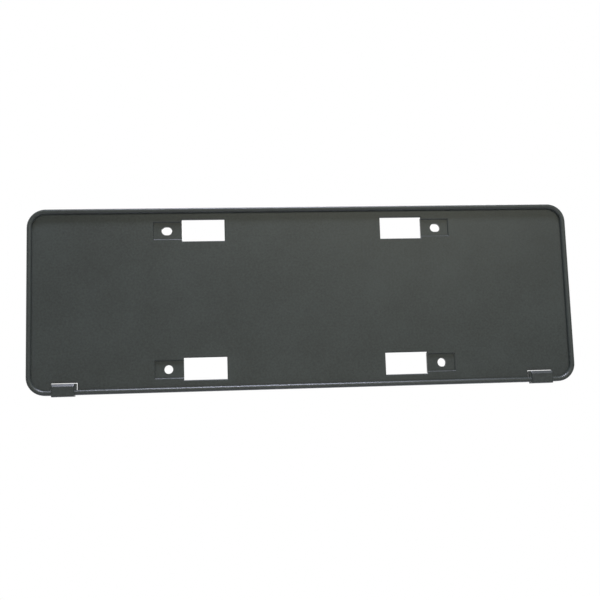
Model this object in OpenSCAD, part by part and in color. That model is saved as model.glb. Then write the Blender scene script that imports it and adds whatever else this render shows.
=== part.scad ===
// Number plate holder: a one-piece moulded tray that is screwed to a car's bumper and takes the plate.
// X runs along the plate, +Z is up, and the front faces -Y.
// The origin is the centre of the four screw holes, on the back plane that lies against the car.

/* [Number plate] */
// Length of the plate that the tray takes
plate_l = 440; // [360:1:520]
// Height of the plate that the tray takes
plate_h = 140; // [130:1:200]
// Play between the plate and the rim at each end
play_x = 1; // [0.2:0.1:3]
// Play between the plate and the rim above and below
play_z = 1.5; // [0.2:0.1:3]

/* [Tray] */
// Thickness of the floor that the plate lies on
floor_t = 2.5; // [1.8:0.1:4]
// Gap between the floor and the car, bridged by the skirt and the ribs
stand_off = 2; // [1.5:0.1:4]
// Width of the rim bead
rim_w = 4; // [3.8:0.1:6]
// Height of the rim bead above the floor
rim_h = 3; // [2.2:0.1:6]
// Rounding of the bead's outer edge
rim_outer_r = 1.5; // [0.5:0.1:1.7]
// Rounding of the bead's inner edge
rim_inner_r = 2; // [0.5:0.1:2]
// Radius of the tray's outer corners
corner_r = 15; // [8:0.5:24]
// Wall of the skirt behind the rim
skirt_t = 2.5; // [1.5:0.1:3.5]

/* [Screw holes] */
// Distance between the left and right holes
hole_pitch_x = 225; // [205:1:260]
// Distance between the lower and upper holes
hole_pitch_z = 114; // [96:1:118]
// Diameter of the lower holes and width of the upper slots
hole_d = 7; // [4:0.1:9]
// Length of the upper slots, end to end
slot_l = 8.4; // [7.2:0.1:12]

/* [Screw seats] */
// Height of each recessed seat
seat_h = 14; // [11:0.5:17]
// Depth of the seat below the floor's front, which takes a clip nut's leaf
seat_recess = 1.2; // [0.4:0.1:1.8]
// Seat beyond the hole, on the side away from the opening
seat_beyond = 10.7; // [7:0.1:14]
// Seat between the hole and the opening
seat_before = 12.3; // [7:0.1:14]
// Wall of the boss round each seat on the back
boss_wall = 1.5; // [1:0.1:3]

/* [Openings] */
// Length of each opening
opening_l = 35; // [20:0.5:45]
// Height of each opening
opening_h = 18; // [12:0.5:19]
// Chamfer round the openings and the seats, on the floor's front
edge_c = 0.6; // [0.2:0.1:1]

/* [Hooks] */
// Distance from each end of the tray to the hook's outer end
hook_end = 20; // [16:0.5:40]
// Length of each hook along the rim, with its cheek
hook_l = 19.6; // [12:0.1:26]
// Height of the hook's tip above the tray's lower edge
hook_rise = 9.1; // [7:0.1:12]
// Gap behind the hook's lip, which the plate's lower edge slides into
hook_gap = 2; // [1.2:0.1:4]
// Thickness of the lip
lip_t = 2.2; // [1.9:0.1:3]
// Height of the lip's sloping tip
tip_h = 2.2; // [1:0.1:5]
// Thickness of the lip at the very tip
tip_t = 0.5; // [0.3:0.1:1.8]
// Rounding of the lip's ends and of its lower edge
lip_r = 1.2; // [0.4:0.1:1.8]
// How far the hook stands out below the rim
hook_wrap = 1.2; // [0.2:0.1:2.5]
// Thickness of the wall that closes the hook's inner end, beside the lip
cheek_t = 1.6; // [1:0.1:3]
// Clearance between the hook and the window in the floor behind it
window_gap = 0.6; // [0.4:0.1:1.5]

/* [Ribs] */
// Thickness of the ribs on the back
rib_t = 1.5; // [1:0.1:2.5]
// Distance from an opening or a seat to the rib beside it
rib_margin = 4; // [3:0.5:6]

/* [Hidden] */
$fn = 64;
// Overlap of cutters past the faces that they open
over = 1;
// How deep a shape is buried in its neighbour before they are joined
bite = 0.5;
tray_l = plate_l + 2 * (play_x + rim_w);
tray_h = plate_h + 2 * (play_z + rim_w);
// Heights above the back plane
floor_front = stand_off + floor_t;
seat_front = floor_front - seat_recess;
rim_front = floor_front + rim_h;
lip_back = floor_front + hook_gap;
lip_front = lip_back + lip_t;
// Places along X and Z, measured from the centre of the holes
hole_x = hole_pitch_x / 2;
hole_z = hole_pitch_z / 2;
opening_x0 = hole_x - seat_before - opening_l;
opening_x1 = hole_x - seat_before;
seat_x1 = hole_x + seat_beyond;
hook_x1 = tray_l / 2 - hook_end;
hook_x0 = hook_x1 - hook_l;
lip_x0 = hook_x0 + cheek_t;
hook_z0 = -tray_h / 2 - hook_wrap;
hook_z1 = -tray_h / 2 + hook_rise;
rib_rows = [-hole_z + opening_h / 2 + rib_margin, 0, hole_z - opening_h / 2 - rib_margin];
rib_half = [opening_x0 - rib_margin, seat_x1 + rib_margin];
rib_columns = [-rib_half[1], -rib_half[0], 0, rib_half[0], rib_half[1]];

// The modules below work lying down: X along the plate, Y up the plate, Z from the back plane to the front.

// A rectangle with round corners, about the origin
module round_rect(l, h, r) {
    square([l - 2 * r, h], center = true);
    square([l, h - 2 * r], center = true);
    for (x = [-1, 1], y = [-1, 1])
        translate([x * (l / 2 - r), y * (h / 2 - r)])
            circle(r = r);
}

// Section of the rim and skirt: X runs outwards to the outer face at out, Y from the back plane to the front
module rim_section(out) {
    translate([out - skirt_t, 0])
        square([skirt_t, floor_front]);
    translate([out - rim_w, stand_off])
        square([rim_w, rim_front - max(rim_outer_r, rim_inner_r) - stand_off]);
    translate([out - rim_w + rim_inner_r, floor_front])
        square([rim_w - rim_inner_r - rim_outer_r, rim_h]);
    translate([out - rim_w + rim_inner_r, rim_front - rim_inner_r])
        circle(r = rim_inner_r);
    translate([out - rim_outer_r, rim_front - rim_outer_r])
        circle(r = rim_outer_r);
    translate([out - rim_w / 2, floor_front])
        square([rim_w / 2, rim_h - rim_outer_r]);
}

// A straight length of rim along X, with its outer face at Y = out
module rim_bar(l, out) {
    translate([-l / 2, 0, 0])
        rotate([90, 0, 90])
            linear_extrude(l)
                rim_section(out);
}

// The rim all the way round: four bars and four turned corners
module rim() {
    for (side = [0, 180]) {
        rotate([0, 0, side])
            rim_bar(tray_l - 2 * corner_r, tray_h / 2);
        rotate([0, 0, side + 90])
            rim_bar(tray_h - 2 * corner_r, tray_l / 2);
    }
    for (corner = [[1, 1, 0], [-1, 1, 90], [-1, -1, 180], [1, -1, 270]])
        translate([corner[0] * (tray_l / 2 - corner_r), corner[1] * (tray_h / 2 - corner_r), 0])
            rotate([0, 0, corner[2]])
                rotate_extrude(angle = 90)
                    rim_section(corner_r);
}

// The floor, let into the rim by half the bead's width
module tray_floor() {
    translate([0, 0, stand_off])
        linear_extrude(floor_t)
            round_rect(tray_l - rim_w, tray_h - rim_w, corner_r - rim_w / 2);
}

// A box between two corners
module block(low, high) {
    translate(low)
        cube(high - low);
}

// Repeats a shape at all four screw holes, mirrored so that the opening is always on the inner side
module at_each_hole() {
    for (x = [0, 1], y = [0, 1])
        mirror([x, 0, 0])
            mirror([0, y, 0])
                translate([0, hole_z, 0])
                    children();
}

// The boss that carries a seat back to the car
module seat_boss() {
    block([opening_x1, -seat_h / 2 - boss_wall, 0],
          [seat_x1 + boss_wall, seat_h / 2 + boss_wall, stand_off + bite]);
}

// A chamfer round a rectangle that is l long from x0 and h high, at the floor's front
module flare(x0, l, h) {
    foot = floor_front - edge_c;
    grow = edge_c + over;
    intersection() {
        translate([x0, 0, foot])
            rotate([90, 0, 0])
                linear_extrude(h + 2 * grow, center = true)
                    polygon([[0, 0], [l, 0], [l + grow, grow], [-grow, grow]]);
        translate([x0 - grow, 0, foot])
            rotate([90, 0, 90])
                linear_extrude(l + 2 * grow)
                    polygon([[-h / 2, 0], [h / 2, 0], [h / 2 + grow, grow], [-h / 2 - grow, grow]]);
    }
}

// What is taken away at each screw hole: the seat and the opening beside it
module seat_cut() {
    flare(opening_x1 - over, seat_x1 - opening_x1 + over, seat_h);
    flare(opening_x0, opening_l, opening_h);
    block([opening_x1 - over, -seat_h / 2, seat_front],
          [seat_x1, seat_h / 2, floor_front + over]);
    block([opening_x0, -opening_h / 2, -over],
          [opening_x1, opening_h / 2, floor_front + over]);
}

// The four screw holes: round below, slotted along X above
module screw_holes() {
    slide = (slot_l - hole_d) / 2;
    for (side = [-1, 1]) {
        translate([side * hole_x, -hole_z, -over])
            cylinder(d = hole_d, h = floor_front + 2 * over);
        for (end = [-1, 1])
            translate([side * hole_x + end * slide, hole_z, -over])
                cylinder(d = hole_d, h = floor_front + 2 * over);
        block([side * hole_x - slide, hole_z - hole_d / 2, -over],
              [side * hole_x + slide, hole_z + hole_d / 2, floor_front + over]);
    }
}

// The lattice of ribs that stiffens the back
module ribs() {
    for (y = rib_rows)
        block([-tray_l / 2 + skirt_t - bite, y - rib_t / 2, 0],
              [tray_l / 2 - skirt_t + bite, y + rib_t / 2, stand_off + bite]);
    for (x = rib_columns)
        block([x - rib_t / 2, -tray_h / 2 + skirt_t - bite, 0],
              [x + rib_t / 2, tray_h / 2 - skirt_t + bite, stand_off + bite]);
}

// Section of a hook across the rim: X up the plate, Y from the back plane to the front
module hook_section() {
    difference() {
        union() {
            translate([hook_z0, 0])
                square([hook_z1 - hook_z0 - tip_h, lip_front - lip_r]);
            translate([hook_z0 + lip_r, lip_back])
                square([hook_z1 - hook_z0 - lip_r - tip_h, lip_t]);
            translate([hook_z0 + lip_r, lip_front - lip_r])
                circle(r = lip_r);
            polygon([
                [hook_z1 - tip_h, lip_back],
                [hook_z1, lip_back],
                [hook_z1, lip_back + tip_t],
                [hook_z1 - tip_h, lip_front],
            ]);
        }
        translate([-tray_h / 2 + rim_w, -over])
            square([hook_rise, lip_back + over]);
    }
}

// Outline of a lip seen from below, with its two front edges rounded
module lip_outline() {
    translate([lip_x0, 0])
        square([hook_x1 - lip_x0, lip_front - lip_r]);
    translate([lip_x0 + lip_r, 0])
        square([hook_x1 - lip_x0 - 2 * lip_r, lip_front]);
    for (x = [lip_x0 + lip_r, hook_x1 - lip_r])
        translate([x, lip_front - lip_r])
            circle(r = lip_r);
}

// The right-hand hook: a lip that turns up over the rim, with a lower cheek at its inner end
module hook() {
    intersection() {
        translate([lip_x0, 0, 0])
            rotate([90, 0, 90])
                linear_extrude(hook_x1 - lip_x0)
                    hook_section();
        translate([0, hook_z1 + over, 0])
            rotate([90, 0, 0])
                linear_extrude(hook_z1 - hook_z0 + 2 * over)
                    lip_outline();
    }
    block([hook_x0, -tray_h / 2 + rim_w - bite, stand_off],
          [lip_x0 + bite, hook_z1, lip_back + tip_t]);
}

// The window in the floor that a hook is moulded through
module hook_window() {
    block([hook_x0 - window_gap, -tray_h / 2 + rim_w, -over],
          [hook_x1 + window_gap, hook_z1 + window_gap, floor_front + over]);
}

module holder() {
    color("#3c3f3b")
        rotate([90, 0, 0]) {
            difference() {
                union() {
                    rim();
                    tray_floor();
                    ribs();
                    at_each_hole() seat_boss();
                }
                at_each_hole() seat_cut();
                screw_holes();
                for (side = [0, 1])
                    mirror([side, 0, 0])
                        hook_window();
            }
            for (side = [0, 1])
                mirror([side, 0, 0])
                    hook();
        }
}

holder();
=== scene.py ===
import math

import bmesh
import bpy
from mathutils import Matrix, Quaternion, Vector


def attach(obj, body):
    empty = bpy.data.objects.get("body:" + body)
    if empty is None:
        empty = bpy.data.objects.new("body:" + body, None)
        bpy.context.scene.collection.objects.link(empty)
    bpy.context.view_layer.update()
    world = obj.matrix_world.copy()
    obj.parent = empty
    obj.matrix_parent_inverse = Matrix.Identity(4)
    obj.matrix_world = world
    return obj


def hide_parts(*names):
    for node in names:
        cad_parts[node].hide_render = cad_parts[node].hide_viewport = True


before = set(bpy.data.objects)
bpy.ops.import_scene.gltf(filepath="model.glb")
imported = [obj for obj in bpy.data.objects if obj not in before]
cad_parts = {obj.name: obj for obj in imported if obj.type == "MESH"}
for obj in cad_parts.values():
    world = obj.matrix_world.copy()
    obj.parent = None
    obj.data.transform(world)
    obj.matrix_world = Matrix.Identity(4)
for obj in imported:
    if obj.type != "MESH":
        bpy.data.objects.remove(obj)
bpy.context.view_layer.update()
mm = 0.001
scene = bpy.context.scene


def hexToLinear(hexColour):
    # "#rrggbb" as sRGB, to the linear colour that the shaders take
    shares = [int(hexColour[start : start + 2], 16) / 255 for start in (1, 3, 5)]
    linear = [
        share / 12.92 if share <= 0.04045 else ((share + 0.055) / 1.055) ** 2.4
        for share in shares
    ]
    return (*linear, 1.0)


def addNode(tree, kind, settings=None, links=None):
    # settings are inputs or properties, links are inputs, each by name or number
    node = tree.nodes.new(kind)
    for name, value in (settings or {}).items():
        if isinstance(name, int) or name in node.inputs:
            node.inputs[name].default_value = value
        else:
            setattr(node, name, value)
    for name, source in (links or {}).items():
        tree.links.new(source, node.inputs[name])
    return node


def newMaterial(name):
    material = bpy.data.materials.new(name)
    material.use_nodes = True
    material.node_tree.nodes.clear()
    return material, material.node_tree


plasticSettings = {
    "darkHex": "#262a27",  # where the flow of the plastic left it darker
    "paleHex": "#313633",
    "darkBelow": 0.35,  # the pattern is fully dark below this value
    "paleAbove": 0.65,  # and fully pale above this one
    "cloud": 38 * mm,  # size of the faint clouds in the colour
    "cloudDetail": 3.0,
    "cloudRoughness": 0.55,
    "grain": 1.6 * mm,  # the real grain is near 0.2 mm, too fine for the render
    "grainDetail": 2.0,
    "grainRoughness": 0.6,
    "grainShare": 0.6,  # of the change in colour; the clouds make the rest
    "grainHeight": 0.008 * mm,
    "grainLow": 0.3,  # the grain's noise lies between these two nearly everywhere
    "grainHigh": 0.7,
    "roughness": 0.35,
    "roughnessSpread": 0.05,  # either side of it, following the grain
    "ior": 1.49,
    "specular": 0.3,  # the etched grain scatters part of the gloss
}


def makeMouldedPolypropylene(settings):
    # black polypropylene from an etched mould: a satin face that goes grey in flat
    # light, with faint clouds and a fine grain that break up the highlights
    material, tree = newMaterial("mouldedPolypropylene")
    place = addNode(tree, "ShaderNodeTexCoord").outputs["Object"]
    clouds = addNode(
        tree,
        "ShaderNodeTexNoise",
        {
            "Scale": 1 / settings["cloud"],
            "Detail": settings["cloudDetail"],
            "Roughness": settings["cloudRoughness"],
        },
        {"Vector": place},
    )
    grain = addNode(
        tree,
        "ShaderNodeTexNoise",
        {
            "Scale": 1 / settings["grain"],
            "Detail": settings["grainDetail"],
            "Roughness": settings["grainRoughness"],
        },
        {"Vector": place},
    )
    cloudPart = addNode(
        tree,
        "ShaderNodeMath",
        {"operation": "MULTIPLY", 1: 1 - settings["grainShare"]},
        {0: clouds.outputs["Fac"]},
    )
    bothParts = addNode(
        tree,
        "ShaderNodeMath",
        {"operation": "MULTIPLY_ADD", 1: settings["grainShare"]},
        {0: grain.outputs["Fac"], 2: cloudPart.outputs["Value"]},
    )
    tint = addNode(
        tree, "ShaderNodeValToRGB", links={"Fac": bothParts.outputs["Value"]}
    )
    dark, pale = tint.color_ramp.elements
    dark.position = settings["darkBelow"]
    dark.color = hexToLinear(settings["darkHex"])
    pale.position = settings["paleAbove"]
    pale.color = hexToLinear(settings["paleHex"])
    sheen = addNode(
        tree,
        "ShaderNodeMapRange",
        {
            "From Min": settings["grainLow"],
            "From Max": settings["grainHigh"],
            "To Min": settings["roughness"] - settings["roughnessSpread"],
            "To Max": settings["roughness"] + settings["roughnessSpread"],
        },
        {"Value": grain.outputs["Fac"]},
    )
    relief = addNode(
        tree,
        "ShaderNodeBump",
        {"Strength": 1.0, "Distance": settings["grainHeight"]},
        {"Height": grain.outputs["Fac"]},
    )
    shader = addNode(
        tree,
        "ShaderNodeBsdfPrincipled",
        {"IOR": settings["ior"], "Specular IOR Level": settings["specular"]},
        {
            "Base Color": tint.outputs["Color"],
            "Roughness": sheen.outputs["Result"],
            "Normal": relief.outputs["Normal"],
        },
    )
    addNode(
        tree, "ShaderNodeOutputMaterial", links={"Surface": shader.outputs["BSDF"]}
    )
    return material


traySettings = {
    "edgeRadius": 0.25 * mm,  # no moulded edge is sharp
    "edgeSegments": 2,
    "roundFrom": math.radians(50),  # outward edges that turn more are rounded
    "creaseFrom": math.radians(32),  # chamfers and inner corners keep a crisp line
    "flatWeight": 100,  # the large faces set the normals, so that they stay flat
    "weld": 0.001 * mm,  # joins the frame's loose triangles
}


def makeTray(settings, material):
    # the CAD solid with its loose triangles joined and its edges rounded
    shape = bmesh.new()
    shape.from_mesh(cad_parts["holder"].data)
    bmesh.ops.remove_doubles(shape, verts=shape.verts, dist=settings["weld"])
    outerEdges = [
        edge
        for edge in shape.edges
        if edge.is_convex and edge.calc_face_angle(0) > settings["roundFrom"]
    ]
    bmesh.ops.bevel(
        shape,
        geom=outerEdges,
        offset=settings["edgeRadius"],
        offset_type="OFFSET",
        segments=settings["edgeSegments"],
        profile=0.5,
        affect="EDGES",
        clamp_overlap=False,  # one tiny edge would hold back every rounding
        loop_slide=False,
        material=-1,
    )
    openEdges = [edge for edge in shape.edges if not edge.is_manifold]
    for face in shape.faces:
        face.smooth = True
    for edge in shape.edges:
        edge.smooth = edge.calc_face_angle(0) < settings["creaseFrom"]
    mesh = bpy.data.meshes.new("tray")
    shape.to_mesh(mesh)
    shape.free()
    mesh.materials.append(material)
    tray = bpy.data.objects.new("tray", mesh)
    scene.collection.objects.link(tray)
    normals = tray.modifiers.new("flatFacesStayFlat", "WEIGHTED_NORMAL")
    normals.weight = settings["flatWeight"]
    normals.keep_sharp = True
    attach(tray, "root")
    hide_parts("holder")
    print("tray:", len(mesh.polygons), "faces,", len(openEdges), "open edges")


makeTray(traySettings, makeMouldedPolypropylene(plasticSettings))


stageSettings = {
    "floorHeight": -0.42,  # below the camera, which looks up at the tray
    "floorSize": 1.6,  # small enough to stay below the photograph's frame
    "floorHex": "#f4f4f4",
    "whiteHex": "#ffffff",
    "whiteLevel": 1.0,
    "whiteShare": 0.9,  # of the floor in the camera's view; the rest is paper
    "worldLevel": 0.05,  # what the room adds to the lamps
}


def makeStage(settings):
    # matte backdrop paper: a pale floor that takes a faint shadow, nearly plain white
    # to the camera, in a room that is white to the camera and to the gloss
    material, tree = newMaterial("matteBackdropPaper")
    rays = addNode(tree, "ShaderNodeLightPath")
    paper = addNode(
        tree, "ShaderNodeBsdfDiffuse", {"Color": hexToLinear(settings["floorHex"])}
    )
    white = addNode(
        tree,
        "ShaderNodeEmission",
        {
            "Color": hexToLinear(settings["whiteHex"]),
            "Strength": settings["whiteLevel"],
        },
    )
    seen = addNode(
        tree,
        "ShaderNodeMath",
        {"operation": "MULTIPLY", 1: settings["whiteShare"]},
        {0: rays.outputs["Is Camera Ray"]},
    )
    mixed = addNode(
        tree,
        "ShaderNodeMixShader",
        links={
            "Fac": seen.outputs["Value"],
            1: paper.outputs["BSDF"],
            2: white.outputs["Emission"],
        },
    )
    sides = addNode(tree, "ShaderNodeNewGeometry")
    clear = addNode(tree, "ShaderNodeBsdfTransparent")
    oneSided = addNode(  # clear from below, so that the floor never hides the tray
        tree,
        "ShaderNodeMixShader",
        links={
            "Fac": sides.outputs["Backfacing"],
            1: mixed.outputs["Shader"],
            2: clear.outputs["BSDF"],
        },
    )
    addNode(
        tree, "ShaderNodeOutputMaterial", links={"Surface": oneSided.outputs["Shader"]}
    )
    sheet = bmesh.new()
    bmesh.ops.create_grid(
        sheet, x_segments=1, y_segments=1, size=settings["floorSize"] / 2
    )
    bmesh.ops.translate(
        sheet, verts=sheet.verts, vec=Vector((0, 0, settings["floorHeight"]))
    )
    mesh = bpy.data.meshes.new("floor")
    sheet.to_mesh(mesh)
    sheet.free()
    mesh.materials.append(material)
    floor = bpy.data.objects.new("floor", mesh)
    scene.collection.objects.link(floor)

    world = bpy.data.worlds.new("whiteRoom")
    scene.world = world
    world.use_nodes = True
    tree = world.node_tree
    tree.nodes.clear()
    rays = addNode(tree, "ShaderNodeLightPath")
    seen = rays.outputs["Is Camera Ray"]
    for kind in ("Is Glossy Ray", "Is Transmission Ray"):
        seen = addNode(
            tree,
            "ShaderNodeMath",
            {"operation": "MAXIMUM"},
            {0: seen, 1: rays.outputs[kind]},
        ).outputs["Value"]
    lighting = addNode(
        tree,
        "ShaderNodeBackground",
        {
            "Color": hexToLinear(settings["whiteHex"]),
            "Strength": settings["worldLevel"],
        },
    )
    white = addNode(
        tree,
        "ShaderNodeBackground",
        {
            "Color": hexToLinear(settings["whiteHex"]),
            "Strength": settings["whiteLevel"],
        },
    )
    mixed = addNode(
        tree,
        "ShaderNodeMixShader",
        links={
            "Fac": seen,
            1: lighting.outputs["Background"],
            2: white.outputs["Background"],
        },
    )
    addNode(tree, "ShaderNodeOutputWorld", links={"Surface": mixed.outputs["Shader"]})
    print("stage made")


makeStage(stageSettings)


lampSettings = {
    "keySoftbox": {
        "place": (0.0, -0.36, 1.2),  # above, so that it only grazes the tray's face
        "width": 0.6,
        "height": 0.2,
        "watts": 36.0,
        "hex": "#e7e8ff",  # daylight, for the blue edge of the faces that look up
    },
    "frontFill": {
        "place": (0.0, -1.2, 0.7),
        "width": 0.6,
        "height": 0.6,
        "watts": 3.2,
        "hex": "#fffde4",
    },
    "sideFill": {
        "place": (0.45, -1.15, 0.45),  # its soft gloss lies right of the middle
        "width": 0.5,
        "height": 0.5,
        "watts": 1.8,
        "hex": "#fffde4",
    },
    "tableBounce": {
        "place": (0.0, -0.9, -0.35),
        "width": 0.6,
        "height": 0.6,
        "watts": 0.9,
        "hex": "#fffde4",
    },
    "rearFill": {
        "place": (0.5, 1.3, 0.6),  # only the back and the edges see it
        "width": 1.0,
        "height": 1.0,
        "watts": 20.0,
        "hex": "#ffffff",
    },
}


def makeLamps(settings):
    # flat softboxes, all aimed at the tray's middle
    for name, lamp in settings.items():
        light = bpy.data.lights.new(name, "AREA")
        light.shape = "RECTANGLE"
        light.size = lamp["width"]
        light.size_y = lamp["height"]
        light.energy = lamp["watts"]
        light.color = hexToLinear(lamp["hex"])[:3]
        stand = bpy.data.objects.new(name, light)
        stand.location = lamp["place"]
        aim = -Vector(lamp["place"])
        stand.rotation_euler = aim.to_track_quat("-Z", "Y").to_euler()
        scene.collection.objects.link(stand)
    print("lamps:", len(settings))


makeLamps(lampSettings)


cameraSettings = {
    "place": (-0.0730, -0.7406, -0.0967),  # left of the tray's middle and below it
    "aim": (-0.0039, 0.0, -0.0021),
    "roll": math.radians(1.82),  # clockwise, as the camera was held
    "focalPixels": 902.5,  # the lens that fits the photograph's perspective
    "framePixels": 600,
    "sensor": 36.0,
    "clipStart": 0.01,
    "clipEnd": 50.0,
}


def makeCamera(settings):
    lens = bpy.data.cameras.new("camera")
    lens.sensor_width = settings["sensor"]
    lens.lens = (
        settings["sensor"] * settings["focalPixels"] / settings["framePixels"]
    )
    lens.clip_start = settings["clipStart"]
    lens.clip_end = settings["clipEnd"]
    camera = bpy.data.objects.new("camera", lens)
    place = Vector(settings["place"])
    level = (Vector(settings["aim"]) - place).to_track_quat("-Z", "Y")
    camera.location = place
    camera.rotation_mode = "QUATERNION"
    camera.rotation_quaternion = level @ Quaternion((0, 0, 1), -settings["roll"])
    scene.collection.objects.link(camera)
    scene.camera = camera
    scene.view_settings.view_transform = "Standard"
    print("camera at", settings["place"])


makeCamera(cameraSettings)
